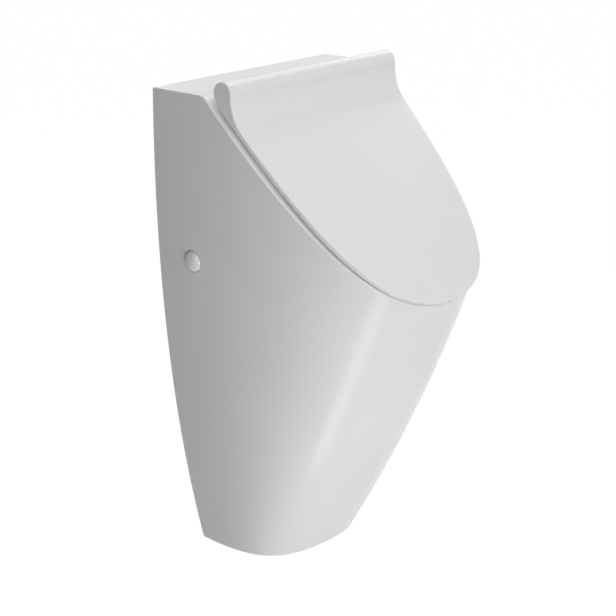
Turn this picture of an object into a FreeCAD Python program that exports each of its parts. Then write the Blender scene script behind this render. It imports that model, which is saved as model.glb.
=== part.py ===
import FreeCAD, Part
import math
import os
import re
import Sketcher

# Wall-hung urinal with a hinged lid, in millimetres.
# Origin: on the wall plane, midway between the two wall fixings. +Z is up, the wall is the plane Y = 0
# and the front of the bowl looks along -Y.
# The lid and its hinges are drawn in the slope frame: its XY plane is the sloping rim, its origin the
# corner where the rim plane meets the deck, -Y runs down the slope and +Z leaves the rim.

Vector = FreeCAD.Vector
Rotation = FreeCAD.Rotation

SIZES = {
    # ceramic outline, in sections at the base, one third, two thirds and the full height
    "body_height": 594,
    "fixing_share": 0.66,
    "deck_width": 310,
    "base_width": 176,
    "low_swell": 21,
    "high_swell": 19.5,
    "base_depth": 130,
    "crown_depth": 419,
    "front_belly": 17,
    "pull_base": 0.78,
    "pull_deck": 0.91,
    "nose_base": 0.93,
    "nose_deck": 0.06,
    "swell_base": 1.18,
    "swell_deck": 1.13,
    # deck and sloping rim
    "deck_depth": 83,
    "rim_slope": 44.8,
    "deck_round": 14,
    "rim_width": 27,
    "rim_round": 2,
    "base_round": 2.5,
    # walls, service space behind the bowl and chamber under it
    "shell_wall": 13,
    "bowl_wall": 16,
    "service_depth": 76,
    "back_wall": 12,
    "deck_thick": 15,
    "hinge_wall": 15,
    "ceiling_drop": 64,
    "ceiling_thick": 14,
    # bowl floor
    "floor_height": 160,
    "floor_thick": 17,
    "floor_inset": 24,
    "knee_rise": 28,
    "knee_inset": 7,
    "waist_share": 0.42,
    "bowl_swell": 1.08,
    "bowl_pull": 0.66,
    "bowl_round": 14,
    # lid, in the slope frame
    "lid_width": 299,
    "lid_length": 337,
    "lid_gap": 3.2,
    "lid_thick": 5.2,
    "lid_swell": 0.977,
    "lid_pull": 0.587,
    "lid_nose": 0.85,
    "lid_edge": 1.6,
    "lip_radius": 13.6,
    "lip_heel": 24,
    "lip_blend": 58,
    "pivot_down": 14,
    "pivot_rise": 19.6,
    "buffer_radius": 4,
    "buffer_sink": 2.2,
    "buffer_air": 0.1,
    "side_buffer_across": 0.447,
    "side_buffer_down": 0.45,
    "front_buffer_across": 0.2,
    "front_buffer_down": 0.915,
    # hinges
    "hinge_share": 0.322,
    "knuckle_width": 24,
    "knuckle_air": 1,
    "eye_radius": 9,
    "eye_air": 1.2,
    "notch_angle": 80,
    "stem_thick": 8,
    "foot_length": 22,
    "foot_thick": 6,
    "foot_air": 2,
    "seal_thick": 1,
    "pin_radius": 4,
    "running_air": 0.05,
    "pin_reach": 16,
    "damper_radius": 8,
    "damper_length": 42,
    "damper_grip": 20,
    "stud_radius": 4,
    "stud_air": 0.6,
    "washer_thick": 1.6,
    "nut_height": 6.5,
    # wall brackets, side screws and their covers
    "bracket_pitch": 210,
    "bracket_height": 36,
    "bracket_thick": 8,
    "bracket_air": 2,
    "bracket_inner": 85,
    "wall_hole_radius": 5.5,
    "screw_depth": 58,
    "side_bow": 2.4,
    "spot_radius": 14,
    "spot_depth": 2,
    "sleeve_radius": 7.8,
    "sleeve_air": 0.2,
    "sleeve_flange": 11,
    "flange_thick": 1.5,
    "screw_radius": 4,
    "head_radius": 6.5,
    "head_height": 3,
    "insert_radius": 7,
    "cap_radius": 13.5,
    "cap_height": 7.8,
    "cap_wall": 1.5,
    # flush inlet
    "inlet_drop": 106,
    "inlet_hole": 22,
    "tail_radius": 21,
    "tail_bore": 18,
    "tail_length": 34,
    "pipe_radius": 16,
    "spreader_flange": 30,
    "spreader_reach": 22,
    "spreader_wall": 3,
    "gasket_lap": 1,
    "thread_air": 0.1,
    "gasket_thick": 2,
    "inlet_nut_height": 9,
    # drain
    "drain_depth": 132,
    "drain_hole": 24,
    "drain_flange_radius": 30,
    "drain_seat": 31.5,
    "drain_sink": 4,
    "waste_radius": 22,
    "waste_bore": 18,
    "waste_length": 38,
    "strainer_radius": 25,
    "strainer_air": 0.3,
    "drain_nut_height": 8,
    # trap
    "trap_radius": 20,
    "trap_bend_radius": 34,
    "trap_height": 80,
    "rise_leg": 20,
    "elbow_radius": 30,
    "collar_height": 4,
    "union_radius": 28,
    "union_air": 0.2,
    "union_lip": 5,
    "union_grip": 12,
    "rib_height": 1.5,
    "rib_width": 5,
    "plug_radius": 9,
    "boss_radius": 13,
    "boss_drop": 12,
    "outlet_radius": 25,
    "outlet_seal_length": 26,
    "wall_air": 2,
}

doc = FreeCAD.newDocument("urinal")
dims = doc.addObject("Spreadsheet::Sheet", "dims")
for row, (alias, size) in enumerate(SIZES.items(), start=1):
    dims.set("A%d" % row, alias)
    dims.set("B%d" % row, str(size))
    dims.setAlias("B%d" % row, alias)
doc.recompute()

# Lengths that follow another size, so that the pieces keep together
FOLLOWING = {
    "fixing_height": "body_height * fixing_share",
    "hinge_offset": "lid_width * hinge_share",
    "trap_leg": "floor_height - waste_length - gasket_thick - trap_height",
}

# Names for lengths that several pieces share, written as formulas of the sheet
TOP = "(body_height - fixing_height)"
BASE = "(-fixing_height)"
BOWL_BACK = "(service_depth + back_wall)"
INLET_LEVEL = "(body_height - fixing_height - inlet_drop)"
FLOOR_LEVEL = "(floor_height - fixing_height)"
ROOF_LEVEL = "(floor_height - floor_thick - fixing_height)"
LID_TOP = "(lid_gap + lid_thick)"
FOOT_DOWN = "(pivot_down + pivot_rise * tan(rim_slope))"
FOOT_TOP = "(seal_thick + foot_thick)"
SIDE_HALF = "(deck_width / 3 + base_width / 6 + high_swell)"
SPOT_LEVEL = f"({SIDE_HALF} + side_bow - spot_depth)"
BRACKET_OUTER = f"({SIDE_HALF} - shell_wall - bracket_air)"
TRAP_TOP = f"({FLOOR_LEVEL} - waste_length - gasket_thick)"
TRAP_AXIS = f"({TRAP_TOP} - trap_leg)"
RISE_TOP = f"({TRAP_AXIS} + rise_leg)"
ELBOW_AXIS = f"({RISE_TOP} + gasket_thick + collar_height + union_lip + gasket_lap)"
RISE_DEPTH = "(drain_depth - 2 * trap_bend_radius)"
HEX_STEP = 60
RIB_COUNT = 10

# Heights of the deck, the bowl floor and the base as plain numbers, for picking edges
DECK_AT = SIZES["body_height"] * (1 - SIZES["fixing_share"])
BASE_AT = DECK_AT - SIZES["body_height"]
FLOOR_AT = BASE_AT + SIZES["floor_height"]
NEAR = 0.01
EDGE_POINTS = 5


def sheet_name(word):
    """A word of a formula as the sheet knows it."""
    name = word[0]
    if name in FOLLOWING:
        return "(" + formula(FOLLOWING[name]) + ")"
    return "dims." + name if name in SIZES else name


def formula(text):
    """Point every name in a formula at the sheet."""
    return re.sub(r"[a-z_]+", sheet_name, str(text))


def bind(item, **formulas):
    """Tie properties of an object to formulas of the sheet."""
    for name, text in formulas.items():
        item.setExpression(name, formula(text))


def seat(item, x="0", y="0", z="0", axis=(1, 0, 0), turn="0"):
    """Place a piece by formulas: a corner point and a turn about one axis."""
    item.Placement = FreeCAD.Placement(Vector(), Rotation(Vector(*axis), 1))
    for path, text in (("Base.x", x), ("Base.y", y), ("Base.z", z), ("Rotation.Angle", turn)):
        item.setExpression("Placement." + path, formula(text))
    return item


def seat_on_slope(item):
    """Place a piece drawn in the slope frame."""
    return seat(item, y="-deck_depth", z=TOP, turn="rim_slope")


def new_body(label):
    body = doc.addObject("PartDesign::Body", label)
    body.Label = label
    return body


def new_sketch(body, plane, offset="0"):
    """An empty sketch on one of the body's own planes, moved along its normal."""
    sketch = body.newObject("Sketcher::SketchObject", body.Label + "_sketch")
    support = [item for item in body.Origin.OriginFeatures if item.Role == plane + "_Plane"]
    sketch.AttachmentSupport = [(support[0], "")]
    sketch.MapMode = "FlatFace"
    sketch.setExpression("AttachmentOffset.Base.z", formula(offset))
    return sketch


def fix_point(sketch, geometry, position, x, y):
    """Dimension a sketch point from the sketch origin by two formulas."""
    for kind, text in (("DistanceX", x), ("DistanceY", y)):
        index = sketch.addConstraint(Sketcher.Constraint(kind, -1, 1, geometry, position, 1.0))
        sketch.setExpression("Constraints[%d]" % index, formula(text))


def outline(sketch, corners, curves=None):
    """Draw a closed outline through corners; a side listed in curves bends to its two inner poles."""
    curves = curves or {}
    count = len(corners)
    step = 2 * math.pi / count
    start = [Vector(math.cos(step * i), math.sin(step * i), 0) for i in range(count)]
    sides = []
    for i in range(count):
        a, b = start[i], start[(i + 1) % count]
        if i in curves:
            side = Part.BSplineCurve()
            thirds = [a, (a * 2 + b) / 3, (a + b * 2) / 3, b]
            side.buildFromPolesMultsKnots(thirds, [4, 4], [0.0, 1.0], False, 3)
        else:
            side = Part.LineSegment(a, b)
        sides.append(sketch.addGeometry(side, False))
    poles = {}
    for i in curves:
        first_pole = sketch.GeometryCount
        sketch.exposeInternalGeometry(sides[i])
        poles[i] = first_pole
    for i in range(count):
        sketch.addConstraint(Sketcher.Constraint("Coincident", sides[i], 2, sides[(i + 1) % count], 1))
    for i, (x, y) in enumerate(corners):
        fix_point(sketch, sides[i], 1, x, y)
    for i, inner in curves.items():
        for offset, (x, y) in enumerate(inner, start=1):
            fix_point(sketch, poles[i] + offset, 3, x, y)
    return sketch


def circle(sketch, x, y, radius):
    """Draw a circle by formulas for its centre and radius."""
    index = sketch.addGeometry(Part.Circle(Vector(1, 1, 0), Vector(0, 0, 1), 1.0), False)
    fix_point(sketch, index, 3, x, y)
    constraint = sketch.addConstraint(Sketcher.Constraint("Radius", index, 1.0))
    sketch.setExpression("Constraints[%d]" % constraint, formula(radius))
    return sketch


def hexagon(sketch, x, y, radius):
    """Draw a hexagon by formulas for its centre and corner radius."""
    corners = []
    for step in range(6):
        angle = step * HEX_STEP
        corners.append((f"{x} + {radius} * cos({angle})", f"{y} + {radius} * sin({angle})"))
    return outline(sketch, corners)


def extrude(kind, body, sketch, length, symmetric=False, reverse=False):
    """Pad or pocket a sketch by a formula for its length."""
    feature = body.newObject("PartDesign::" + kind, body.Label + "_" + kind.lower())
    feature.Profile = sketch
    feature.SideType = "Symmetric" if symmetric else "One side"
    feature.Reversed = reverse
    bind(feature, Length=length)
    return feature


def loft(kind, body, sketches):
    feature = body.newObject("PartDesign::" + kind, body.Label + "_" + kind.lower())
    feature.Profile = sketches[0]
    feature.Sections = sketches[1:]
    return feature


def turned(label, profile, curves=None):
    """A body turned about its own Z axis from a profile of radius and height."""
    body = new_body(label)
    sketch = outline(new_sketch(body, "XZ"), profile, curves)
    turn = body.newObject("PartDesign::Revolution", label + "_turn")
    turn.Profile = sketch
    turn.ReferenceAxis = (sketch, ["V_Axis"])
    turn.Angle = 360
    return body


def ring(label, outer, inner, low, high):
    """A turned ring: washer, gasket or seal."""
    return turned(label, [(inner, low), (outer, low), (outer, high), (inner, high)])


def hex_nut(label, radius, bore, low, high):
    """A hexagon nut about the body's Z axis, its corners chamfered at the free end."""
    body = new_body(label)
    sketch = hexagon(new_sketch(body, "XY", low), "0", "0", radius)
    circle(sketch, "0", "0", bore)
    extrude("Pad", body, sketch, f"({high}) - ({low})")
    flats = f"({radius} * cos({HEX_STEP} / 2))"
    groove = body.newObject("PartDesign::Groove", label + "_chamfer")
    groove.Profile = outline(
        new_sketch(body, "XZ"),
        [(flats, low), (f"{radius} * 2", low), (f"{radius} * 2", f"{low} + ({radius} * 2 - {flats}) / 2")],
    )
    groove.ReferenceAxis = (groove.Profile[0], ["V_Axis"])
    groove.Angle = 360
    return body


def around(body, feature, sketch, count):
    """Repeat a feature evenly round the normal of its sketch."""
    pattern = body.newObject("PartDesign::PolarPattern", body.Label + "_pattern")
    pattern.Originals = [feature]
    pattern.Axis = (sketch, ["N_Axis"])
    pattern.Angle = 360
    pattern.Occurrences = count
    body.Tip = pattern


def grip_ribs(body, low, high):
    """Ribs along a union nut, to turn it by hand."""
    inner, outer = "(union_radius - rib_height)", "(union_radius + rib_height)"
    left, right = "-rib_width / 2", "rib_width / 2"
    corners = [(inner, left), (outer, left), (outer, right), (inner, right)]
    sketch = outline(new_sketch(body, "XY", low), corners)
    around(body, extrude("Pad", body, sketch, f"({high}) - ({low})"), sketch, RIB_COUNT)


def round_edges(body, radius, test):
    """Round the body's edges that pass a test on points along the edge."""
    doc.recompute()
    tip = body.Tip
    names = []
    for index, edge in enumerate(tip.Shape.Edges, start=1):
        if edge.Length > NEAR and test(edge.discretize(EDGE_POINTS)):
            names.append("Edge%d" % index)
    fillet = body.newObject("PartDesign::Fillet", body.Label + "_round")
    fillet.Base = (tip, names)
    bind(fillet, Radius=radius)
    doc.recompute()
    return fillet


def mirrored(label, source):
    """The same piece on the other side of the middle plane."""
    twin = doc.addObject("Part::Mirroring", label)
    twin.Label = label
    twin.Source = source
    twin.Base = Vector()
    twin.Normal = Vector(1, 0, 0)
    return twin


def pair(label, source):
    """One node of two like pieces, left and right."""
    both = doc.addObject("Part::Compound", label)
    both.Label = label
    both.Links = [source, mirrored(label + "_twin", source)]
    return both


def cylinder(name, radius, height):
    item = doc.addObject("Part::Cylinder", name)
    bind(item, Radius=radius, Height=height)
    return item


def torus(name, radius1, radius2, sweep, rotation, y, z):
    """A bent length of pipe in the middle plane."""
    item = doc.addObject("Part::Torus", name)
    bind(item, Radius1=radius1, Radius2=radius2)
    item.Angle3 = sweep
    item.Placement = FreeCAD.Placement(Vector(), rotation)
    item.setExpression("Placement.Base.y", formula(y))
    item.setExpression("Placement.Base.z", formula(z))
    return item


def fuse(name, pieces):
    item = doc.addObject("Part::MultiFuse", name)
    item.Shapes = pieces
    item.Refine = True
    return item


def cut(label, base, tools):
    """A piece with round holes and recesses taken out."""
    item = doc.addObject("Part::Cut", label)
    item.Label = label
    item.Base = base
    item.Tool = fuse(label + "_tools", tools) if len(tools) > 1 else tools[0]
    item.Refine = True
    return item


# Ceramic outline at four levels, a third of the height apart: half width, depth and curve handles
LEVELS = ("base", "low", "high", "deck")
SHARES = {"base": "0 / 3", "low": "1 / 3", "high": "2 / 3", "deck": "3 / 3"}
SWELLS = {"base": "0", "low": "low_swell", "high": "high_swell", "deck": "0"}
BELLIES = {"base": "0", "low": "front_belly", "high": "front_belly", "deck": "0"}


def half_at(level):
    return f"((base_width + (deck_width - base_width) * {SHARES[level]}) / 2 + {SWELLS[level]})"


def depth_at(level):
    return f"(base_depth + (crown_depth - base_depth) * {SHARES[level]} + {BELLIES[level]})"


def height_of(level):
    return f"(body_height * {SHARES[level]})"


def handle(name, share):
    return f"({name}_base + ({name}_deck - {name}_base) * ({share}))"


def between(value_at, level, height):
    """A size at a height between one level and the next, in a straight line."""
    above = LEVELS[LEVELS.index(level) + 1]
    share = f"(({height} - {height_of(level)}) * 3 / body_height)"
    return f"({value_at(level)} + ({value_at(above)} - {value_at(level)}) * {share})"


def outer_section(body, level):
    half = half_at(level)
    depth = depth_at(level)
    swell = handle("swell", SHARES[level])
    pull = handle("pull", SHARES[level])
    nose = handle("nose", SHARES[level])
    sketch = new_sketch(body, "XY", f"{height_of(level)} - fixing_height")
    corners = [(half, "wall_air"), ("0", f"-{depth}"), (f"-{half}", "wall_air")]
    right = [(f"{half} * {swell}", f"-{depth} * {pull}"), (f"{half} * {nose}", f"-{depth}")]
    left = [(f"-{half} * {nose}", f"-{depth}"), (f"-{half} * {swell}", f"-{depth} * {pull}")]
    return outline(sketch, corners, {0: right, 1: left})


def hollow_section(body, height, level, inset, back, swell, pull):
    """A section of a hollow: the outline at that height, set in by a wall, from a flat back."""
    half = f"({between(half_at, level, height)} - ({inset}))"
    depth = f"({between(depth_at, level, height)} - ({inset}))"
    nose = handle("nose", f"{height} / body_height")
    sketch = new_sketch(body, "XY", f"{height} - fixing_height")
    handle_y = f"({back} + ({depth} - {back}) * {pull})"
    corners = [(half, f"-{back}"), ("0", f"-{depth}"), (f"-{half}", f"-{back}")]
    right = [(f"{half} * {swell}", f"-{handle_y}"), (f"{half} * {nose}", f"-{depth}")]
    left = [(f"-{half} * {nose}", f"-{depth}"), (f"-{half} * {swell}", f"-{handle_y}")]
    return outline(sketch, corners, {0: right, 1: left})


def service_section(body, level, height):
    half = f"({half_at(level)} - shell_wall)"
    front, back = "-service_depth", "wall_air"
    sketch = new_sketch(body, "XY", height)
    return outline(sketch, [(half, back), (half, front), (f"-{half}", front), (f"-{half}", back)])


def slope_point(down, out):
    """World Y and Z of a point given down the slope and out from it."""
    y = f"(-deck_depth - ({down}) * cos(rim_slope) - ({out}) * sin(rim_slope))"
    z = f"({TOP} - ({down}) * sin(rim_slope) + ({out}) * cos(rim_slope))"
    return y, z


def span(values):
    return max(values) - min(values)


def runs_across(points):
    """Whether points lie on a line along X."""
    return span([point.y for point in points]) < NEAR and span([point.z for point in points]) < NEAR


def on_slope(points):
    """Whether points lie on the rim plane."""
    rise = math.tan(math.radians(SIZES["rim_slope"]))
    return max(abs(point.z - DECK_AT - (point.y + SIZES["deck_depth"]) * rise) for point in points) < NEAR


def at_height(points, height):
    return max(abs(point.z - height) for point in points) < NEAR


def at_depth(points, depth):
    return max(abs(point.y + depth) for point in points) < NEAR


# Ceramic body
ceramic = new_body("ceramic_form")
loft("AdditiveLoft", ceramic, [outer_section(ceramic, level) for level in LEVELS])

wall_plane = outline(
    new_sketch(ceramic, "XZ"),
    [
        ("-deck_width", f"{BASE} - wall_air"),
        ("deck_width", f"{BASE} - wall_air"),
        ("deck_width", f"{TOP} + wall_air"),
        ("-deck_width", f"{TOP} + wall_air"),
    ],
)
extrude("Pocket", ceramic, wall_plane, "wall_air * 2")

rim_cut = outline(
    new_sketch(ceramic, "YZ"),
    [
        slope_point("0", "0"),
        slope_point("crown_depth * 2", "0"),
        (slope_point("crown_depth * 2", "0")[0], f"{TOP} + wall_air"),
        (slope_point("0", "0")[0], f"{TOP} + wall_air"),
    ],
)
extrude("Pocket", ceramic, rim_cut, "deck_width * 2", symmetric=True)

service_heights = {
    "base": f"{BASE} - wall_air",
    "low": f"{height_of('low')} - fixing_height",
    "high": f"{height_of('high')} - fixing_height",
    "deck": f"{TOP} - deck_thick",
}
service_sections = [service_section(ceramic, level, height) for level, height in service_heights.items()]
loft("SubtractiveLoft", ceramic, service_sections)

chamber_sections = []
for height in ("(-wall_air)", "(floor_height - floor_thick)"):
    chamber_sections.append(
        hollow_section(ceramic, height, "base", "shell_wall", "0", "swell_base", "pull_base")
    )
loft("SubtractiveLoft", ceramic, chamber_sections)

chamber_floor = "(ceiling_drop - ceiling_thick)"
chamber_top = slope_point("(deck_thick - hinge_wall * cos(rim_slope)) / sin(rim_slope)", "-hinge_wall")
chamber_low = slope_point(f"({chamber_floor} - hinge_wall * cos(rim_slope)) / sin(rim_slope)", "-hinge_wall")
hinge_chamber = outline(
    new_sketch(ceramic, "YZ"),
    [
        ("-service_depth / 2", f"{TOP} - deck_thick"),
        chamber_top,
        chamber_low,
        ("-service_depth / 2", f"{TOP} - {chamber_floor}"),
    ],
)
extrude("Pocket", ceramic, hinge_chamber, "deck_width - 4 * shell_wall", symmetric=True)

bowl_levels = [
    ("floor_height", "base", "bowl_wall + floor_inset"),
    ("(floor_height + knee_rise)", "base", "bowl_wall + knee_inset"),
    ("(body_height * waist_share)", "low", "bowl_wall"),
    ("(body_height * 2 / 3)", "high", "rim_width"),
    ("(body_height - ceiling_drop)", "high", "rim_width"),
]
bowl_sections = []
for height, level, inset in bowl_levels:
    bowl_sections.append(hollow_section(ceramic, height, level, inset, BOWL_BACK, "bowl_swell", "bowl_pull"))
loft("SubtractiveLoft", ceramic, bowl_sections)


def is_bowl_edge(points):
    """The edge of the bowl floor and the upright corners at the bowl's back."""
    upright = span([point.z for point in points]) > NEAR
    at_back = at_depth(points, SIZES["service_depth"] + SIZES["back_wall"])
    return at_height(points, FLOOR_AT) or (at_back and upright)


def is_base_edge(points):
    """Outer edges of the base, which reach further to the front than the inner ones."""
    front = SIZES["shell_wall"] / 2 - SIZES["base_depth"]
    return at_height(points, BASE_AT) and min(point.y for point in points) < front


def is_deck_front(points):
    return on_slope(points) and at_depth(points, SIZES["deck_depth"])


def is_skin_edge(points):
    """Edges of the rim and of the deck's sides, not the wall edge nor the lines across the deck."""
    middle = points[EDGE_POINTS // 2]
    beside_deck = min(point.z for point in points) > DECK_AT - SIZES["deck_round"]
    beside_deck = beside_deck and abs(middle.x) > SIZES["deck_width"] / 3
    return (on_slope(points) or beside_deck) and not runs_across(points)


round_edges(ceramic, "bowl_round", is_bowl_edge)
round_edges(ceramic, "deck_round", is_deck_front)
round_edges(ceramic, "rim_round", is_skin_edge)
round_edges(ceramic, "base_round", is_base_edge)

# Holes of the ceramic: side screws, their spot faces, flush inlet, drain and hinge studs
ALONG_X = {"axis": (0, 1, 0), "turn": "90"}
ALONG_MINUS_Y = {"axis": (1, 0, 0), "turn": "90"}

screw_hole = cylinder("screw_hole", "sleeve_radius + sleeve_air", "deck_width * 2")
seat(screw_hole, x="-deck_width", y="-screw_depth", **ALONG_X)
spot_face = cylinder("spot_face", "spot_radius", "spot_radius")
seat(spot_face, x=SPOT_LEVEL, y="-screw_depth", **ALONG_X)
inlet_hole = cylinder("inlet_opening", "inlet_hole", "back_wall * 3")
seat(inlet_hole, y="-service_depth + back_wall", z=INLET_LEVEL, **ALONG_MINUS_Y)
drain_hole = cylinder("drain_opening", "drain_hole", "floor_thick * 2")
seat(drain_hole, y="-drain_depth", z=f"{ROOF_LEVEL} - floor_thick / 2")
drain_seat = cylinder("drain_recess", "drain_seat", "bowl_round * 2")
seat(drain_seat, y="-drain_depth", z=f"{FLOOR_LEVEL} - drain_sink")
stud_hole = new_body("stud_hole")
stud_sketch = new_sketch(stud_hole, "XY", "-hinge_wall - seal_thick")
circle(stud_sketch, "hinge_offset", f"-{FOOT_DOWN}", "stud_radius + stud_air")
extrude("Pad", stud_hole, stud_sketch, "hinge_wall * 1.5")
seat_on_slope(stud_hole)
ceramic_body = cut(
    "ceramic_body",
    ceramic,
    [
        screw_hole,
        spot_face,
        mirrored("spot_face_twin", spot_face),
        inlet_hole,
        drain_hole,
        drain_seat,
        stud_hole,
        mirrored("stud_hole_twin", stud_hole),
    ],
)

# Lid with its rolled lip: end profile drawn across the slope frame, then trimmed to the plan outline
COS, SIN = "cos(rim_slope)", "sin(rim_slope)"
PIVOT_Y, PIVOT_Z = "(-pivot_down)", "pivot_rise"
HEEL_ANGLE = -72


def from_pivot(radius, angle):
    """A slope frame point at a radius from the pivot and an angle, in degrees up from level at the back."""
    turn = f"({angle} - rim_slope)"
    return f"({PIVOT_Y} + ({radius}) * cos({turn}))", f"({PIVOT_Z} + ({radius}) * sin({turn}))"


def below(offset, level):
    """Where a plumb line, offset to the front of the pivot, reaches a height above the rim."""
    drop = f"(pivot_rise + ({offset}) * {SIN} - ({level}))"
    return f"({PIVOT_Y} - ({offset}) * {COS} - {drop} * tan(rim_slope))", level


lid = new_body("lid")
lid_tip = "-(lid_length + lip_radius)"
heel_y = f"({PIVOT_Y} + lip_radius * cos({HEEL_ANGLE}))"
heel_z = f"({PIVOT_Z} + lip_radius * sin({HEEL_ANGLE}))"
lid_profile = outline(
    new_sketch(lid, "YZ"),
    [
        ("-lip_heel", "lid_gap"),
        (heel_y, heel_z),
        from_pivot("lip_radius", 180),
        below("lip_radius", LID_TOP),
        (lid_tip, LID_TOP),
        (lid_tip, "lid_gap"),
    ],
)
extrude("Pad", lid, lid_profile, "lid_width * 1.2", symmetric=True)
lip_round = circle(new_sketch(lid, "YZ"), PIVOT_Y, PIVOT_Z, "lip_radius")
extrude("Pad", lid, lip_round, "lid_width * 1.2", symmetric=True)


def is_lip_root(points):
    """The inner edge where the front of the lip meets the top of the lid."""
    slope = math.radians(SIZES["rim_slope"])
    top = SIZES["lid_gap"] + SIZES["lid_thick"]
    drop = SIZES["pivot_rise"] + SIZES["lip_radius"] * math.sin(slope) - top
    down = SIZES["pivot_down"] + SIZES["lip_radius"] * math.cos(slope) + drop * math.tan(slope)
    return at_height(points, top) and at_depth(points, down)


def is_lid_rim(points):
    """Upper edges of the trimmed outline; lines along the lip are left alone."""
    return min(point.z for point in points) > SIZES["lid_gap"] + NEAR and not runs_across(points)


round_edges(lid, "lip_blend", is_lip_root)
lid_half = "(lid_width / 2)"
far, far_front = "lid_width", "-lid_length * 2"
lid_plan = new_sketch(lid, "XY")
outline(lid_plan, [(far, far), (far, far_front), (f"-{far}", far_front), (f"-{far}", far)])
swell_x, swell_y = f"{lid_half} * lid_swell", "-lid_length * lid_pull"
nose_x, nose_y = f"{lid_half} * lid_nose", "-lid_length"
outline(
    lid_plan,
    [
        (lid_half, "0"),
        ("0", nose_y),
        (f"-{lid_half}", "0"),
        (f"-{lid_half}", "lip_heel"),
        (lid_half, "lip_heel"),
    ],
    {
        0: [(swell_x, swell_y), (nose_x, nose_y)],
        1: [(f"-{nose_x}", nose_y), (f"-{swell_x}", swell_y)],
    },
)
extrude("Pocket", lid, lid_plan, "lid_width", symmetric=True)
round_edges(lid, "lid_edge", is_lid_rim)

# Hinge pockets in the lip: room for the post over the whole swing, then the bores for pin and damper
POCKET_WIDTH = "(knuckle_width + 2 * knuckle_air)"
POCKET_FRONT = f"(-({FOOT_DOWN} + foot_length / 2 + foot_air))"
EYE_ROOM = "(eye_radius + eye_air)"
pocket_sketch = outline(
    new_sketch(lid, "YZ", "hinge_offset"),
    [
        (POCKET_FRONT, "-foot_air"),
        (POCKET_FRONT, f"{FOOT_TOP} + foot_air / 2"),
        from_pivot(EYE_ROOM, 180),
        from_pivot(EYE_ROOM, "notch_angle"),
        from_pivot("lip_radius * 3", "notch_angle"),
        ("lip_radius * 3", "-foot_air"),
    ],
)
pocket = extrude("Pocket", lid, pocket_sketch, POCKET_WIDTH, symmetric=True)
eye_sketch = circle(new_sketch(lid, "YZ", "hinge_offset"), PIVOT_Y, PIVOT_Z, EYE_ROOM)
eye_pocket = extrude("Pocket", lid, eye_sketch, POCKET_WIDTH, symmetric=True)
POCKET_INNER = f"(hinge_offset - {POCKET_WIDTH} / 2)"
POCKET_OUTER = f"(hinge_offset + {POCKET_WIDTH} / 2)"
damper_sketch = circle(new_sketch(lid, "YZ", POCKET_INNER), PIVOT_Y, PIVOT_Z, "damper_radius")
damper_bore = extrude("Pocket", lid, damper_sketch, "damper_length")
pin_sketch = circle(new_sketch(lid, "YZ", POCKET_OUTER), PIVOT_Y, PIVOT_Z, "pin_radius + running_air")
pin_bore = extrude("Pocket", lid, pin_sketch, "pin_reach", reverse=True)
BUFFERS = [
    ("lid_width * side_buffer_across", "-lid_length * side_buffer_down"),
    ("lid_width * front_buffer_across", "-lid_length * front_buffer_down"),
]
buffer_sketch = new_sketch(lid, "XY", "lid_gap")
for x, y in BUFFERS:
    circle(buffer_sketch, x, y, "buffer_radius")
buffer_bore = extrude("Pocket", lid, buffer_sketch, "buffer_sink", reverse=True)
other_side = lid.newObject("PartDesign::Mirrored", "lid_other_side")
other_side.Originals = [pocket, eye_pocket, damper_bore, pin_bore, buffer_bore]
middle_plane = [item for item in lid.Origin.OriginFeatures if item.Role == "YZ_Plane"][0]
other_side.MirrorPlane = (middle_plane, [""])
lid.Tip = other_side
seat_on_slope(lid)


def slope_disc(label, x, y, low, high, radius, bore=None):
    """A round piece standing on the slope, with a bore if given."""
    body = new_body(label)
    sketch = circle(new_sketch(body, "XY", low), x, y, radius)
    if bore:
        circle(sketch, x, y, bore)
    extrude("Pad", body, sketch, f"({high}) - ({low})")
    return seat_on_slope(body)


def lip_rod(label, low, high, radius):
    """A round piece along the hinge axis."""
    body = new_body(label)
    sketch = circle(new_sketch(body, "YZ", low), PIVOT_Y, PIVOT_Z, radius)
    extrude("Pad", body, sketch, f"({high}) - ({low})")
    return seat_on_slope(body)


buffers = []
for index, (x, y) in enumerate(BUFFERS):
    name = "lid_buffer_%d" % index
    bumper = slope_disc(name, x, y, "buffer_air", "lid_gap + buffer_sink", "buffer_radius")
    buffers += [bumper, mirrored(name + "_twin", bumper)]
lid_buffers = doc.addObject("Part::Compound", "lid_buffers")
lid_buffers.Links = buffers

# Hinge: post with foot and eye, pin, damper barrel, and the fixing of the foot through the rim
post = new_body("hinge_post_right")
foot_back = f"(-({FOOT_DOWN} - foot_length / 2))"
foot_front = f"(-({FOOT_DOWN} + foot_length / 2))"
foot_sketch = outline(
    new_sketch(post, "YZ", "hinge_offset"),
    [(foot_front, "seal_thick"), (foot_back, "seal_thick"), (foot_back, FOOT_TOP), (foot_front, FOOT_TOP)],
)
extrude("Pad", post, foot_sketch, "knuckle_width", symmetric=True)
stem_sketch = outline(
    new_sketch(post, "YZ", "hinge_offset"),
    [
        from_pivot("stem_thick / 2", 180),
        below("stem_thick / 2", "(seal_thick * 2)"),
        below("-stem_thick / 2", "(seal_thick * 2)"),
        from_pivot("stem_thick / 2", 0),
    ],
)
extrude("Pad", post, stem_sketch, "knuckle_width", symmetric=True)
eye = circle(new_sketch(post, "YZ", "hinge_offset"), PIVOT_Y, PIVOT_Z, "eye_radius")
extrude("Pad", post, eye, "knuckle_width", symmetric=True)
eye_bore = circle(new_sketch(post, "YZ", "hinge_offset"), PIVOT_Y, PIVOT_Z, "pin_radius")
extrude("Pocket", post, eye_bore, "knuckle_width * 2", symmetric=True)
stud_seat = circle(new_sketch(post, "XY", "seal_thick"), "hinge_offset", f"-{FOOT_DOWN}", "stud_radius")
extrude("Pocket", post, stud_seat, "foot_thick - seal_thick", reverse=True)
seat_on_slope(post)
post_left = mirrored("hinge_post_left", post)

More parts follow.
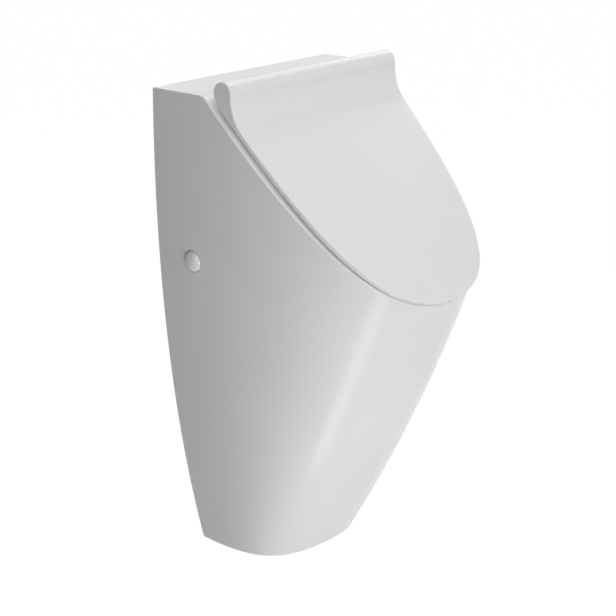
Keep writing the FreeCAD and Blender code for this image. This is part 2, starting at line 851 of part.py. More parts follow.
pin_start = f"({POCKET_INNER} - damper_grip + knuckle_air)"
pin_end = f"({POCKET_OUTER} + pin_reach - knuckle_air)"
hinge_pins = pair("hinge_pins", lip_rod("hinge_pin", pin_start, pin_end, "pin_radius"))
barrel = lip_rod("damper_barrel", f"({POCKET_INNER} - damper_length)", POCKET_INNER, "damper_radius")
barrel_bore = circle(new_sketch(barrel, "YZ", POCKET_INNER), PIVOT_Y, PIVOT_Z, "pin_radius + running_air")
extrude("Pocket", barrel, barrel_bore, "damper_grip")
dampers = pair("hinge_dampers", barrel)

foot_seal = new_body("foot_seal")
seal_low, seal_high = "(hinge_offset - knuckle_width / 2)", "(hinge_offset + knuckle_width / 2)"
seal_sketch = outline(
    new_sketch(foot_seal, "XY"),
    [(seal_low, foot_front), (seal_high, foot_front), (seal_high, foot_back), (seal_low, foot_back)],
)
circle(seal_sketch, "hinge_offset", f"-{FOOT_DOWN}", "stud_radius + stud_air")
extrude("Pad", foot_seal, seal_sketch, "seal_thick")
hinge_seals = pair("hinge_foot_seals", seat_on_slope(foot_seal))

NUT_TOP = "(-hinge_wall - washer_thick)"
NUT_END = f"({NUT_TOP} - nut_height)"
STUD_AT = ("hinge_offset", f"-{FOOT_DOWN}")
stud = slope_disc("hinge_stud", *STUD_AT, f"{NUT_END} - seal_thick", "foot_thick", "stud_radius")
hinge_studs = pair("hinge_studs", stud)
washer_bore = "stud_radius + stud_air"
washer = slope_disc("hinge_washer", *STUD_AT, NUT_TOP, "-hinge_wall", "stud_radius * 2", washer_bore)
hinge_washers = pair("hinge_washers", washer)
stud_nut = new_body("hinge_nut")
nut_sketch = hexagon(new_sketch(stud_nut, "XY", NUT_END), *STUD_AT, "(stud_radius * 1.8)")
circle(nut_sketch, *STUD_AT, "stud_radius")
extrude("Pad", stud_nut, nut_sketch, "nut_height")
hinge_nuts = pair("hinge_nuts", seat_on_slope(stud_nut))

# Wall brackets: an angle with two gussets, a hole for the wall bolt and an insert for the side screw
bracket = new_body("wall_bracket_right")
ARM_INNER = f"({BRACKET_OUTER} - bracket_thick)"
ARM_END = "(-(screw_depth + insert_radius + bracket_thick / 2))"
angle_sketch = outline(
    new_sketch(bracket, "XY"),
    [
        (BRACKET_OUTER, "0"),
        (BRACKET_OUTER, ARM_END),
        (ARM_INNER, ARM_END),
        (ARM_INNER, "-bracket_thick"),
        ("bracket_inner", "-bracket_thick"),
        ("bracket_inner", "0"),
    ],
)
extrude("Pad", bracket, angle_sketch, "bracket_height", symmetric=True)
for level, upward in (("bracket_height / 2", True), ("-bracket_height / 2", False)):
    gusset = outline(
        new_sketch(bracket, "XY", level),
        [
            (ARM_INNER, "-bracket_thick"),
            (ARM_INNER, "-screw_depth * 0.7"),
            ("bracket_inner + bracket_thick", "-bracket_thick"),
        ],
    )
    extrude("Pad", bracket, gusset, "bracket_thick / 2", reverse=upward)
bolt_hole = circle(new_sketch(bracket, "XZ"), "bracket_pitch / 2", "0", "wall_hole_radius")
extrude("Pocket", bracket, bolt_hole, "bracket_thick * 2", symmetric=True)
insert_hole = circle(new_sketch(bracket, "YZ", BRACKET_OUTER), "-screw_depth", "0", "insert_radius")
extrude("Pocket", bracket, insert_hole, "bracket_thick * 1.5")
bracket_left = mirrored("wall_bracket_left", bracket)

SLEEVE_LENGTH = f"({SPOT_LEVEL} - {BRACKET_OUTER})"
INSERT_LENGTH = "(bracket_thick * 1.75)"
INSERT_END = f"(-{SLEEVE_LENGTH} - {INSERT_LENGTH})"
SCREW_SEAT = {"x": SPOT_LEVEL, "y": "-screw_depth", **ALONG_X}
insert = ring("bracket_insert", "insert_radius", "screw_radius", INSERT_END, f"-{SLEEVE_LENGTH}")
bracket_inserts = pair("bracket_inserts", seat(insert, **SCREW_SEAT))
sleeve_bore = "(screw_radius + sleeve_air)"
sleeve = turned(
    "side_sleeve",
    [
        (sleeve_bore, f"-{SLEEVE_LENGTH}"),
        ("sleeve_radius", f"-{SLEEVE_LENGTH}"),
        ("sleeve_radius", "0"),
        ("sleeve_flange", "0"),
        ("sleeve_flange", "flange_thick"),
        (sleeve_bore, "flange_thick"),
    ],
)
side_sleeves = pair("side_sleeves", seat(sleeve, **SCREW_SEAT))
screw_end = f"({INSERT_END} + flange_thick)"
head_top = "(flange_thick + head_height)"
screw = turned(
    "side_screw",
    [
        ("0", screw_end),
        ("screw_radius", screw_end),
        ("screw_radius", "flange_thick"),
        ("head_radius", "flange_thick"),
        ("head_radius", head_top),
        ("0", head_top),
    ],
)
side_screws = pair("side_screws", seat(screw, **SCREW_SEAT))
cap_inner, cap_under = "(cap_radius - cap_wall)", "(cap_height - cap_wall)"
cap = turned(
    "side_cap_right",
    [("cap_radius", "0"), ("0", "cap_height"), ("0", cap_under), (cap_inner, "0")],
    {
        0: [("cap_radius * 0.9", "cap_height * 0.6"), ("cap_radius * 0.5", "cap_height")],
        2: [(f"{cap_inner} * 0.5", cap_under), (f"{cap_inner} * 0.9", f"{cap_under} * 0.6")],
    },
)
seat(cap, **SCREW_SEAT)
cap_left = mirrored("side_cap_left", cap)

# Flush inlet through the back wall of the bowl, heights measured from the bowl side of that wall
INLET_SEAT = {"y": f"-{BOWL_BACK}", "z": INLET_LEVEL, **ALONG_MINUS_Y}
FLANGE_FRONT = "(gasket_thick * 2.5)"
spreader = turned(
    "spreader",
    [
        ("tail_bore", "-tail_length"),
        ("tail_radius", "-tail_length"),
        ("tail_radius", "gasket_thick"),
        ("spreader_flange", "gasket_thick"),
        ("spreader_flange", FLANGE_FRONT),
        ("0", "spreader_reach"),
        ("0", "spreader_reach - spreader_wall"),
        ("tail_bore", FLANGE_FRONT),
    ],
    {
        4: [("spreader_flange * 0.9", "spreader_reach * 0.75"), ("spreader_flange * 0.45", "spreader_reach")],
        6: [
            ("tail_bore * 0.6", "spreader_reach - spreader_wall"),
            ("tail_bore * 0.95", "spreader_reach * 0.6"),
        ],
    },
)
slot_half, slot_low, slot_high = "tail_bore * 0.75", "spreader_reach * 0.36", "spreader_reach * 0.56"
jet_slot = outline(
    new_sketch(spreader, "XZ"),
    [
        (f"-{slot_half}", slot_low),
        (slot_half, slot_low),
        (slot_half, slot_high),
        (f"-{slot_half}", slot_high),
    ],
)
extrude("Pocket", spreader, jet_slot, "spreader_flange * 2", reverse=True)
seat(spreader, **INLET_SEAT)
tail_hole = "(tail_radius + thread_air)"
spreader_gasket = ring("spreader_gasket", "spreader_flange - gasket_lap", tail_hole, "0", "gasket_thick")
seat(spreader_gasket, **INLET_SEAT)
inlet_nut_top = "(-back_wall - gasket_thick)"
inlet_washer = ring("inlet_washer", "spreader_flange", tail_hole, inlet_nut_top, "-back_wall")
seat(inlet_washer, **INLET_SEAT)
inlet_nut_end = f"({inlet_nut_top} - inlet_nut_height)"
inlet_nut = hex_nut("inlet_nut", "(tail_radius * 1.5)", tail_hole, inlet_nut_end, inlet_nut_top)
seat(inlet_nut, **INLET_SEAT)
inlet_seal = ring("inlet_seal", "tail_bore", "pipe_radius", "-tail_length", "-tail_length + pipe_radius")
seat(inlet_seal, **INLET_SEAT)

# Drain in the bowl floor, heights measured from that floor
DRAIN_SEAT = {"y": "-drain_depth", "z": FLOOR_LEVEL}
DRAIN_GASKET_TOP = "(gasket_thick * 0.75 - drain_sink)"
STRAINER_SEAT = "(-drain_sink * 0.3)"
flange_top = "(drain_sink * 0.15)"
recess = "(strainer_radius + strainer_air)"
drain_flange = turned(
    "drain_flange",
    [
        ("waste_bore", "-waste_length"),
        ("waste_radius", "-waste_length"),
        ("waste_radius", DRAIN_GASKET_TOP),
        ("drain_flange_radius", DRAIN_GASKET_TOP),
        ("drain_flange_radius", "-drain_sink * 0.2"),
        (f"({recess} + gasket_lap)", flange_top),
        (recess, flange_top),
        (recess, STRAINER_SEAT),
        ("waste_bore", STRAINER_SEAT),
    ],
)
seat(drain_flange, **DRAIN_SEAT)
waste_hole = "(waste_radius + thread_air)"
drain_gasket = ring("drain_gasket", "drain_flange_radius", waste_hole, "-drain_sink", DRAIN_GASKET_TOP)
seat(drain_gasket, **DRAIN_SEAT)
drain_washer_low = "(-floor_thick - gasket_thick * 0.75)"
drain_washer = ring("drain_washer", "drain_flange_radius", waste_hole, drain_washer_low, "-floor_thick")
seat(drain_washer, **DRAIN_SEAT)
drain_nut_end = f"({drain_washer_low} - drain_nut_height)"
drain_nut = hex_nut("drain_nut", "(waste_radius * 1.45)", waste_hole, drain_nut_end, drain_washer_low)
seat(drain_nut, **DRAIN_SEAT)

# Strainer: a shallow dome with two rings of holes
strainer_thick = "(drain_sink * 0.4)"
strainer = turned(
    "strainer",
    [
        ("0", f"{STRAINER_SEAT} + drain_sink * 0.5"),
        ("strainer_radius", STRAINER_SEAT),
        ("strainer_radius", f"{STRAINER_SEAT} + {strainer_thick}"),
        ("0", f"{STRAINER_SEAT} + drain_sink * 0.5 + {strainer_thick}"),
    ],
    {
        0: [
            ("strainer_radius * 0.5", f"{STRAINER_SEAT} + drain_sink * 0.5"),
            ("strainer_radius * 0.75", STRAINER_SEAT),
        ],
        2: [
            ("strainer_radius * 0.75", f"{STRAINER_SEAT} + {strainer_thick}"),
            ("strainer_radius * 0.5", f"{STRAINER_SEAT} + drain_sink * 0.5 + {strainer_thick}"),
        ],
    },
)
for place, count in (("strainer_radius * 0.3", 6), ("strainer_radius * 0.58", 12)):
    hole_sketch = circle(new_sketch(strainer, "XY"), place, "0", "strainer_radius * 0.09")
    hole = extrude("Pocket", strainer, hole_sketch, "drain_sink * 4", symmetric=True)
    around(strainer, hole, hole_sketch, count)
seat(strainer, **DRAIN_SEAT)

# Trap: U-bend under the drain, cleaning plug, union nuts with seals, bend to the wall
U_TURN = Rotation(Vector(0, 1, 0), Vector(0, 0, -1), Vector(-1, 0, 0), "XYZ")
WALL_TURN = Rotation(Vector(0, -1, 0), Vector(0, 0, 1), Vector(-1, 0, 0), "XYZ")
TRAP_MIDDLE = "(trap_bend_radius - drain_depth)"
ELBOW_DEPTH = f"({RISE_DEPTH} - elbow_radius)"
OUTLET_LEVEL = f"({ELBOW_AXIS} + elbow_radius)"
U_BOTTOM = f"({TRAP_AXIS} - trap_bend_radius - trap_radius)"
BOSS_END = f"({U_BOTTOM} - boss_drop)"


def upright(name, radius, y, low, high):
    return seat(cylinder(name, radius, f"({high}) - ({low})"), y=y, z=low)


def trap_run(name, radius):
    """The run of the U-bend at one pipe radius: drop, bend and rise."""
    return [
        torus(name + "_bend", "trap_bend_radius", radius, 180, U_TURN, TRAP_MIDDLE, TRAP_AXIS),
        upright(name + "_drop", radius, "-drain_depth", TRAP_AXIS, TRAP_TOP),
        upright(name + "_rise", radius, f"-{RISE_DEPTH}", TRAP_AXIS, RISE_TOP),
    ]


def elbow_run(name, radius):
    """The run of the outlet bend at one pipe radius: rise, bend and length to the wall."""
    reach = cylinder(name + "_reach", radius, f"{ELBOW_DEPTH} - wall_air")
    seat(reach, y="-wall_air", z=OUTLET_LEVEL, **ALONG_MINUS_Y)
    return [
        torus(name + "_bend", "elbow_radius", radius, 90, WALL_TURN, f"-{ELBOW_DEPTH}", ELBOW_AXIS),
        upright(name + "_rise", radius, f"-{RISE_DEPTH}", f"({RISE_TOP} + gasket_thick)", ELBOW_AXIS),
        reach,
    ]


collar_low = f"({TRAP_TOP} - collar_height)"
thread_low = f"({RISE_TOP} - union_grip - union_lip)"
boss_top = f"({U_BOTTOM} + trap_radius / 2)"
trap_collar = upright("trap_collar", "waste_radius", "-drain_depth", collar_low, TRAP_TOP)
trap_thread = upright("trap_thread", "waste_radius", f"-{RISE_DEPTH}", thread_low, RISE_TOP)
plug_boss = upright("plug_boss", "boss_radius", TRAP_MIDDLE, BOSS_END, boss_top)
plug_hole = upright("plug_hole", "plug_radius", TRAP_MIDDLE, BOSS_END, boss_top)
trap_outer = fuse("trap_outer", trap_run("trap_skin", "trap_radius") + [trap_collar, trap_thread, plug_boss])
trap_bend = cut("trap_bend", trap_outer, trap_run("trap_bore", "waste_bore") + [plug_hole])
elbow_low = f"({RISE_TOP} + gasket_thick)"
elbow_collar = upright(
    "elbow_collar", "waste_radius", f"-{RISE_DEPTH}", elbow_low, f"({elbow_low} + collar_height)"
)
elbow_outer = fuse("elbow_outer", elbow_run("elbow_skin", "trap_radius") + [elbow_collar])
outlet_bend = cut("outlet_bend", elbow_outer, elbow_run("elbow_bore", "waste_bore"))

trap_inlet_seal = ring("trap_inlet_seal", "waste_radius", "waste_bore", "0", "gasket_thick")
seat(trap_inlet_seal, y="-drain_depth", z=TRAP_TOP)
trap_outlet_seal = ring("trap_outlet_seal", "waste_radius", "waste_bore", "0", "gasket_thick")
seat(trap_outlet_seal, y=f"-{RISE_DEPTH}", z=RISE_TOP)
grip_bore, lip_bore = "(waste_radius + union_air)", "(trap_radius + union_air)"
inlet_union = turned(
    "trap_inlet_nut",
    [
        (lip_bore, "-collar_height - union_lip"),
        ("union_radius", "-collar_height - union_lip"),
        ("union_radius", "union_grip"),
        (grip_bore, "union_grip"),
        (grip_bore, "-collar_height"),
        (lip_bore, "-collar_height"),
    ],
)
grip_ribs(inlet_union, "-collar_height - union_lip", "union_grip")
seat(inlet_union, y="-drain_depth", z=TRAP_TOP)
outlet_lip = "(gasket_thick + collar_height)"
outlet_union = turned(
    "trap_outlet_nut",
    [
        (grip_bore, "-union_grip"),
        ("union_radius", "-union_grip"),
        ("union_radius", f"{outlet_lip} + union_lip"),
        (lip_bore, f"{outlet_lip} + union_lip"),
        (lip_bore, outlet_lip),
        (grip_bore, outlet_lip),
    ],
)
grip_ribs(outlet_union, "-union_grip", f"{outlet_lip} + union_lip")
seat(outlet_union, y=f"-{RISE_DEPTH}", z=RISE_TOP)
plug = new_body("cleaning_plug")
plug_head = hexagon(new_sketch(plug, "XY", "-plug_radius * 0.75"), "0", "0", "(boss_radius * 0.95)")
extrude("Pad", plug, plug_head, "plug_radius * 0.75")
plug_thread = circle(new_sketch(plug, "XY"), "0", "0", "plug_radius")
extrude("Pad", plug, plug_thread, "boss_drop")
seat(plug, y=TRAP_MIDDLE, z=BOSS_END)
outlet_seal = ring("outlet_seal", "outlet_radius", "trap_radius", "wall_air", "wall_air + outlet_seal_length")
seat(outlet_seal, z=OUTLET_LEVEL, **ALONG_MINUS_Y)

PIECES = [
    ceramic_body, lid, lid_buffers,
    post, post_left, hinge_pins, dampers, hinge_seals, hinge_studs, hinge_washers, hinge_nuts,
    bracket, bracket_left, bracket_inserts, side_sleeves, side_screws, cap, cap_left,
    spreader, spreader_gasket, inlet_washer, inlet_nut, inlet_seal,
    drain_flange, drain_gasket, drain_washer, drain_nut, strainer,
    trap_bend, inlet_union, outlet_union, trap_inlet_seal, trap_outlet_seal, plug, outlet_bend, outlet_seal,
]

doc.recompute()
for item in doc.Objects:
    if "Invalid" in item.State or "Error" in item.State:
        raise RuntimeError("%s: %s" % (item.Label, item.State))
os.makedirs("parts", exist_ok=True)
for piece in PIECES:
    if piece.Shape.isNull() or not piece.Shape.isValid() or not piece.Shape.Solids:
        raise RuntimeError("%s has no valid solid" % piece.Label)
    piece.Shape.exportStep("parts/%s.step" % piece.Label)
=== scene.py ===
import math

import bpy
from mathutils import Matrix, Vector

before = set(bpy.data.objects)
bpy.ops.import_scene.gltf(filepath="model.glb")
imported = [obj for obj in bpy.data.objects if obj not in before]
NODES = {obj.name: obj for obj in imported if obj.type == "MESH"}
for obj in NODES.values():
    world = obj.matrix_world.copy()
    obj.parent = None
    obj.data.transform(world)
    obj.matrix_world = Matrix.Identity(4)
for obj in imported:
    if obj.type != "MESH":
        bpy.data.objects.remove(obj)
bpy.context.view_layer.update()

# Looks of the wall-hung urinal: finishes of the pieces, camera, lamps and stage.
# Lengths are in metres and angles in degrees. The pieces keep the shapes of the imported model.

# Camera as in the photograph, which is 616 pixels square
PHOTO_SIDE = 616
FOCAL_PIXELS = 1961.6
CENTRE_PIXELS = (355.6, 311.7)
SENSOR_MM = 36.0
CAMERA_AZIMUTH = -49.807
CAMERA_ELEVATION = 16.968
CAMERA_DISTANCE = 2.435272
CAMERA_AIM = Vector((0.036469, -0.150, -0.0887))

# Stage: the rim's front lip hangs about 650 mm above the floor
FLOOR_LEVEL = -0.684
FLOOR_HALF = 8.0
FLOOR_COLOUR = (0.52, 0.52, 0.52)
FLOOR_DARK = (0.51, 0.51, 0.51)
FLOOR_PALE = (0.53, 0.53, 0.53)
FLOOR_ROUGHNESS = 0.9
WHITE = (1.0, 1.0, 1.0)
WHITE_SHARE = 0.9
WHITE_STRENGTH = 1.10
FILL_STRENGTH = 0.02

# Lamps: azimuth, elevation and distance from the aim, then width and height, then power in watts.
# right_high draws the bright line along the lid's lip, corner_strip the band down the rounded corner.
LAMP_AIM = Vector((0.0, -0.16, -0.05))
LAMPS = {
    "high_back": (115.0, 65.0, 2.5, (2.0, 1.2), 22.0),
    "top_front": (0.0, 55.0, 2.6, (2.0, 1.6), 9.0),
    "top_right": (65.0, 55.0, 2.6, (2.0, 1.6), 4.2),
    "right_high": (114.0, 37.0, 2.6, (1.2, 1.1), 5.5),
    "front_right": (40.0, 16.0, 2.8, (2.0, 2.0), 8.0),
    "left": (-69.0, 33.0, 2.1, (1.1, 1.1), 8.5),
    "front_left": (-30.0, -8.0, 1.6, (0.8, 0.6), 7.2),
    "front": (0.0, 20.0, 2.0, (1.6, 1.6), 7.2),
    "front_low": (0.0, -12.0, 1.5, (0.8, 0.4), 0.7),
    "back": (155.0, 14.0, 2.6, (1.2, 1.4), 13.0),
    "right": (95.0, 22.0, 2.8, (1.6, 2.0), 7.0),
    "corner_strip": (-35.5, -49.0, 0.61, (0.15, 0.42), 0.34),
}

# Where the ceramic is left unglazed: the space behind the bowl and the chamber under its floor,
# on faces that turn inward, to the wall or down
SERVICE_FRONT = -0.0768
CHAMBER_TOP = -0.2485
INWARD_LIMIT = -0.01
BACKWARD_LIMIT = 0.5
DOWNWARD_LIMIT = -0.9
CLAY_ROUGHNESS = 0.8
CLAY_GRAIN = 0.5

# Ranges of a noise value: its busy middle, and the whole
MIDDLE = (0.3, 0.7)
WHOLE = (0.0, 1.0)

# Sockets of a mix node that is set to colours
MIX_FIRST = 6
MIX_SECOND = 7
MIX_RESULT = 2

EVEN = (1.0, 1.0, 1.0)


# Placing


def outward(azimuth, elevation):
    """Unit vector from the object towards a direction; azimuth 0 is in front, 90 to the right."""
    turn = math.radians(azimuth)
    rise = math.radians(elevation)
    flat = math.cos(rise)
    return Vector((math.sin(turn) * flat, -math.cos(turn) * flat, math.sin(rise)))


def place(holder, aim, azimuth, elevation, distance):
    """Put a camera or a lamp at a distance from a point, turned towards that point."""
    away = outward(azimuth, elevation)
    holder.location = aim + away * distance
    holder.rotation_euler = (-away).to_track_quat("-Z", "Y").to_euler()
    bpy.context.scene.collection.objects.link(holder)


# Small steps that the finishes share


def new_finish(name, colour, roughness, metallic=0.0):
    """A material with one principled shader; returns the material, its node tree and the shader."""
    material = bpy.data.materials.new(name)
    material.use_nodes = True
    shader = material.node_tree.nodes["Principled BSDF"]
    shader.inputs["Base Color"].default_value = (*colour, 1.0)
    shader.inputs["Roughness"].default_value = roughness
    shader.inputs["Metallic"].default_value = metallic
    return material, material.node_tree, shader


def scaled(colour, factor):
    """A colour made darker or paler."""
    return tuple(factor * value for value in colour)


def coordinates(tree, stretch=EVEN):
    """Coordinates that ride with the piece, stretched along an axis where a grain runs."""
    source = tree.nodes.new("ShaderNodeTexCoord")
    scaling = tree.nodes.new("ShaderNodeMapping")
    scaling.inputs["Scale"].default_value = stretch
    tree.links.new(source.outputs["Object"], scaling.inputs["Vector"])
    return scaling.outputs["Vector"]


def noise(tree, scale, detail, stretch=EVEN):
    """Smooth noise, gathered around a half."""
    node = tree.nodes.new("ShaderNodeTexNoise")
    node.inputs["Scale"].default_value = scale
    node.inputs["Detail"].default_value = detail
    tree.links.new(coordinates(tree, stretch), node.inputs["Vector"])
    return node.outputs["Fac"]


def cells(tree, scale):
    """One random value for each cell of a crystal pattern."""
    node = tree.nodes.new("ShaderNodeTexVoronoi")
    node.inputs["Scale"].default_value = scale
    tree.links.new(coordinates(tree), node.inputs["Vector"])
    split = tree.nodes.new("ShaderNodeSeparateColor")
    tree.links.new(node.outputs["Color"], split.inputs["Color"])
    return split.outputs["Red"]


def math_node(tree, operation, first, second):
    """A math node; each operand is a number or another node's output."""
    node = tree.nodes.new("ShaderNodeMath")
    node.operation = operation
    for socket, value in zip(node.inputs, (first, second)):
        if isinstance(value, (int, float)):
            socket.default_value = value
        else:
            tree.links.new(value, socket)
    return node.outputs["Value"]


def spread(tree, value, low, high, span=MIDDLE):
    """Map a span of a value, the middle of a noise unless another is given, to a range."""
    node = tree.nodes.new("ShaderNodeMapRange")
    for name, number in zip(("From Min", "From Max", "To Min", "To Max"), (*span, low, high)):
        node.inputs[name].default_value = number
    tree.links.new(value, node.inputs["Value"])
    return node.outputs["Result"]


def patches(tree, scale, detail):
    """Noise that runs all the way from nought to one."""
    return spread(tree, noise(tree, scale, detail), *WHOLE)


def blend_colours(tree, factor, first, second):
    """Mix two colours; each is a triple or another node's output."""
    node = tree.nodes.new("ShaderNodeMix")
    node.data_type = "RGBA"
    tree.links.new(factor, node.inputs["Factor"])
    for index, colour in ((MIX_FIRST, first), (MIX_SECOND, second)):
        if isinstance(colour, tuple):
            node.inputs[index].default_value = (*colour, 1.0)
        else:
            tree.links.new(colour, node.inputs[index])
    return node.outputs[MIX_RESULT]


def mix_shaders(tree, factor, first, second):
    """Go from one shader to another by a node's output."""
    node = tree.nodes.new("ShaderNodeMixShader")
    for socket, source in zip(node.inputs, (factor, first, second)):
        tree.links.new(source, socket)
    return node.outputs["Shader"]


def set_colour(tree, shader, colour):
    tree.links.new(colour, shader.inputs["Base Color"])


def set_roughness(tree, shader, value):
    tree.links.new(value, shader.inputs["Roughness"])


def set_bump(tree, shader, height, strength, distance):
    node = tree.nodes.new("ShaderNodeBump")
    node.inputs["Strength"].default_value = strength
    node.inputs["Distance"].default_value = distance
    tree.links.new(height, node.inputs["Height"])
    tree.links.new(node.outputs["Normal"], shader.inputs["Normal"])


# Finishes, one for each material slot of the record


def unglazed_mask(tree):
    """One on the hidden faces that the glaze leaves bare, nought elsewhere."""
    geometry = tree.nodes.new("ShaderNodeNewGeometry")
    spot = tree.nodes.new("ShaderNodeSeparateXYZ")
    facing = tree.nodes.new("ShaderNodeSeparateXYZ")
    tree.links.new(coordinates(tree), spot.inputs["Vector"])
    tree.links.new(geometry.outputs["Normal"], facing.inputs["Vector"])
    across = math_node(tree, "MULTIPLY", spot.outputs["X"], facing.outputs["X"])
    inward = math_node(tree, "LESS_THAN", across, INWARD_LIMIT)
    backward = math_node(tree, "GREATER_THAN", facing.outputs["Y"], BACKWARD_LIMIT)
    downward = math_node(tree, "LESS_THAN", facing.outputs["Z"], DOWNWARD_LIMIT)
    back_or_down = math_node(tree, "MAXIMUM", backward, downward)
    turned_away = math_node(tree, "MAXIMUM", inward, back_or_down)
    behind = math_node(tree, "GREATER_THAN", spot.outputs["Y"], SERVICE_FRONT)
    under = math_node(tree, "LESS_THAN", spot.outputs["Z"], CHAMBER_TOP)
    hidden = math_node(tree, "MAXIMUM", behind, under)
    return math_node(tree, "MULTIPLY", turned_away, hidden)


def glazed_ceramic():
    """White glaze with slow waves and faint pooling; bare fired clay on the hidden faces."""
    material, tree, shader = new_finish("glazed_ceramic", (0.80, 0.803, 0.798), roughness=0.18)
    bare = unglazed_mask(tree)
    pooling = patches(tree, scale=7.0, detail=3.0)
    glaze = blend_colours(tree, pooling, (0.790, 0.793, 0.788), (0.812, 0.815, 0.810))
    speckle = patches(tree, scale=260.0, detail=4.0)
    clay = blend_colours(tree, speckle, (0.66, 0.64, 0.60), (0.76, 0.74, 0.70))
    set_colour(tree, shader, blend_colours(tree, bare, glaze, clay))
    gloss = spread(tree, noise(tree, scale=24.0, detail=3.0), low=0.15, high=0.21)
    matt = math_node(tree, "MULTIPLY", bare, CLAY_ROUGHNESS)
    set_roughness(tree, shader, math_node(tree, "MAXIMUM", gloss, matt))
    waves = noise(tree, scale=34.0, detail=1.0)
    bare_grain = math_node(tree, "MULTIPLY", bare, noise(tree, scale=420.0, detail=3.0))
    grain = math_node(tree, "MULTIPLY", bare_grain, CLAY_GRAIN)
    relief = math_node(tree, "ADD", waves, grain)
    set_bump(tree, shader, relief, strength=0.05, distance=0.002)
    return material


def gloss_plastic(name, colour, roughness):
    """Pressed thermoset: hard white gloss with a very fine skin."""
    material, tree, shader = new_finish(name, colour, roughness)
    shade = patches(tree, scale=5.0, detail=2.0)
    set_colour(tree, shader, blend_colours(tree, shade, scaled(colour, 0.985), scaled(colour, 1.015)))
    gloss = noise(tree, scale=40.0, detail=3.0)
    set_roughness(tree, shader, spread(tree, gloss, low=0.8 * roughness, high=1.2 * roughness))
    skin = noise(tree, scale=700.0, detail=2.0)
    set_bump(tree, shader, skin, strength=0.02, distance=0.0005)
    return material


def chrome():
    """Polished plating with faint wipe marks."""
    material, tree, shader = new_finish("chrome", (0.58, 0.59, 0.61), roughness=0.10, metallic=1.0)
    wipes = noise(tree, scale=60.0, detail=4.0, stretch=(1.0, 0.3, 1.0))
    shade = spread(tree, wipes, *WHOLE)
    set_colour(tree, shader, blend_colours(tree, shade, (0.54, 0.55, 0.57), (0.62, 0.63, 0.65)))
    set_roughness(tree, shader, spread(tree, wipes, low=0.05, high=0.14))
    set_bump(tree, shader, noise(tree, scale=180.0, detail=2.0), strength=0.02, distance=0.0005)
    return material


def satin_steel():
    """Turned stainless steel with fine rings of tool marks."""
    material, tree, shader = new_finish("satin_steel", (0.60, 0.61, 0.62), roughness=0.30, metallic=1.0)
    marks = noise(tree, scale=220.0, detail=3.0, stretch=(1.0, 1.0, 9.0))
    shade = spread(tree, marks, *WHOLE)
    set_colour(tree, shader, blend_colours(tree, shade, (0.53, 0.54, 0.55), (0.67, 0.68, 0.69)))
    set_roughness(tree, shader, spread(tree, marks, low=0.22, high=0.38))
    set_bump(tree, shader, marks, strength=0.08, distance=0.0004)
    return material


def zinc_plate():
    """Hot-dip zinc: crystals of different grey and gloss."""
    material, tree, shader = new_finish("zinc_plate", (0.54, 0.56, 0.58), roughness=0.42, metallic=1.0)
    crystals = cells(tree, scale=170.0)
    dust = noise(tree, scale=90.0, detail=4.0)
    plate = blend_colours(tree, crystals, (0.47, 0.49, 0.52), (0.61, 0.63, 0.65))
    dusted = spread(tree, dust, low=0.0, high=0.35)
    set_colour(tree, shader, blend_colours(tree, dusted, plate, (0.66, 0.66, 0.65)))
    set_roughness(tree, shader, spread(tree, crystals, low=0.34, high=0.52, span=WHOLE))
    set_bump(tree, shader, dust, strength=0.10, distance=0.0006)
    return material


def brass():
    """Bare turned brass with a little tarnish; the tarnished places are duller."""
    material, tree, shader = new_finish("brass", (0.72, 0.55, 0.27), roughness=0.28, metallic=1.0)
    clean = patches(tree, scale=110.0, detail=5.0)
    set_colour(tree, shader, blend_colours(tree, clean, (0.60, 0.43, 0.20), (0.78, 0.61, 0.32)))
    set_roughness(tree, shader, spread(tree, clean, low=0.38, high=0.22, span=WHOLE))
    set_bump(tree, shader, noise(tree, scale=300.0, detail=3.0), strength=0.06, distance=0.0004)
    return material


def rubber():
    """Black moulded rubber with a dull bloom."""
    material, tree, shader = new_finish("rubber", (0.030, 0.030, 0.031), roughness=0.65)
    bloom = patches(tree, scale=140.0, detail=4.0)
    set_colour(tree, shader, blend_colours(tree, bloom, (0.022, 0.022, 0.023), (0.050, 0.050, 0.049)))
    set_roughness(tree, shader, spread(tree, bloom, low=0.55, high=0.78, span=WHOLE))
    set_bump(tree, shader, noise(tree, scale=900.0, detail=2.0), strength=0.15, distance=0.0003)
    return material


def soft_plastic(name, colour, roughness, grain_scale):
    """Satin moulded plastic: slight shade changes and a fine grain."""
    material, tree, shader = new_finish(name, colour, roughness)
    shade = patches(tree, scale=30.0, detail=3.0)
    set_colour(tree, shader, blend_colours(tree, shade, scaled(colour, 0.95), scaled(colour, 1.04)))
    dull = spread(tree, shade, low=0.85 * roughness, high=1.15 * roughness, span=WHOLE)
    set_roughness(tree, shader, dull)
    set_bump(tree, shader, noise(tree, grain_scale, detail=2.0), strength=0.08, distance=0.0004)
    return material


FINISHES = {
    "ceramic": glazed_ceramic(),
    "lid_plastic": gloss_plastic("lid_plastic", (0.785, 0.788, 0.782), roughness=0.17),
    "cap_plastic": gloss_plastic("cap_plastic", (0.800, 0.802, 0.797), roughness=0.14),
    "chrome": chrome(),
    "steel": satin_steel(),
    "zinc": zinc_plate(),
    "brass": brass(),
    "rubber": rubber(),
    "pipe_plastic": soft_plastic("pipe_plastic", (0.74, 0.74, 0.73), roughness=0.38, grain_scale=620.0),
    "nylon": soft_plastic("nylon", (0.62, 0.61, 0.57), roughness=0.45, grain_scale=480.0),
}


def dress_nodes():
    """Give every piece of the model the finish of its material slot."""
    for node in NODES.values():
        for slot in node.material_slots:
            slot.material = FINISHES[slot.material.name.split(".")[0]]


# Stage


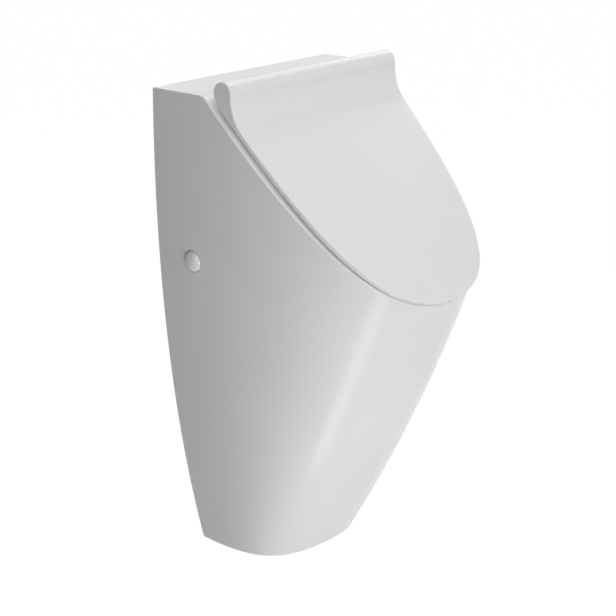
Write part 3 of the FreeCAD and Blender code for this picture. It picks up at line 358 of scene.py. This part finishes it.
def seen_rays(tree):
    """One for rays that show the stage as background: from the camera, in gloss or through glass."""
    paths = tree.nodes.new("ShaderNodeLightPath")
    glossy = paths.outputs["Is Glossy Ray"]
    through = paths.outputs["Is Transmission Ray"]
    passed_on = math_node(tree, "MAXIMUM", glossy, through)
    return math_node(tree, "MAXIMUM", paths.outputs["Is Camera Ray"], passed_on)


def floor_finish():
    """Pale floor that shows almost white, still takes the object's shadow and is clear from below."""
    material, tree, shader = new_finish("studio_floor", FLOOR_COLOUR, FLOOR_ROUGHNESS)
    shade = patches(tree, scale=3.0, detail=2.0)
    set_colour(tree, shader, blend_colours(tree, shade, FLOOR_DARK, FLOOR_PALE))
    shine = tree.nodes.new("ShaderNodeEmission")
    shine.inputs["Strength"].default_value = WHITE_STRENGTH
    share = math_node(tree, "MULTIPLY", seen_rays(tree), WHITE_SHARE)
    upper = mix_shaders(tree, share, shader.outputs["BSDF"], shine.outputs["Emission"])
    clear = tree.nodes.new("ShaderNodeBsdfTransparent")
    geometry = tree.nodes.new("ShaderNodeNewGeometry")
    both = mix_shaders(tree, geometry.outputs["Backfacing"], upper, clear.outputs["BSDF"])
    tree.links.new(both, tree.nodes["Material Output"].inputs["Surface"])
    return material


def lay_floor():
    signs = ((-1, -1), (1, -1), (1, 1), (-1, 1))
    corners = [(x * FLOOR_HALF, y * FLOOR_HALF, FLOOR_LEVEL) for x, y in signs]
    mesh = bpy.data.meshes.new("floor")
    mesh.from_pydata(corners, [], [(0, 1, 2, 3)])
    mesh.materials.append(floor_finish())
    floor = bpy.data.objects.new("floor", mesh)
    bpy.context.scene.collection.objects.link(floor)


def light_world():
    """White where it is seen, a faint even fill for the light itself."""
    world = bpy.data.worlds.new("studio")
    world.use_nodes = True
    bpy.context.scene.world = world
    tree = world.node_tree
    fill = tree.nodes["Background"]
    fill.inputs["Color"].default_value = (*WHITE, 1.0)
    fill.inputs["Strength"].default_value = FILL_STRENGTH
    white = tree.nodes.new("ShaderNodeBackground")
    white.inputs["Color"].default_value = (*WHITE, 1.0)
    sky = mix_shaders(tree, seen_rays(tree), fill.outputs["Background"], white.outputs["Background"])
    tree.links.new(sky, tree.nodes["World Output"].inputs["Surface"])


def hang_lamps():
    """Soft rectangular lamps around the object, out of the camera's sight."""
    for name, (azimuth, elevation, distance, sides, power) in LAMPS.items():
        lamp = bpy.data.lights.new(name, "AREA")
        lamp.shape = "RECTANGLE"
        lamp.size, lamp.size_y = sides
        lamp.energy = power
        holder = bpy.data.objects.new(name, lamp)
        holder.visible_camera = False
        place(holder, LAMP_AIM, azimuth, elevation, distance)


def set_camera():
    """The photograph's view; the shift puts the lens axis where the photograph has it."""
    lens = bpy.data.cameras.new("camera")
    lens.sensor_width = SENSOR_MM
    lens.lens = SENSOR_MM * FOCAL_PIXELS / PHOTO_SIDE
    lens.shift_x = (PHOTO_SIDE / 2 - CENTRE_PIXELS[0]) / PHOTO_SIDE
    lens.shift_y = (CENTRE_PIXELS[1] - PHOTO_SIDE / 2) / PHOTO_SIDE
    camera = bpy.data.objects.new("camera", lens)
    place(camera, CAMERA_AIM, CAMERA_AZIMUTH, CAMERA_ELEVATION, CAMERA_DISTANCE)
    bpy.context.scene.camera = camera


set_camera()
dress_nodes()
lay_floor()
light_world()
hang_lamps()
bpy.context.scene.view_settings.view_transform = "Standard"
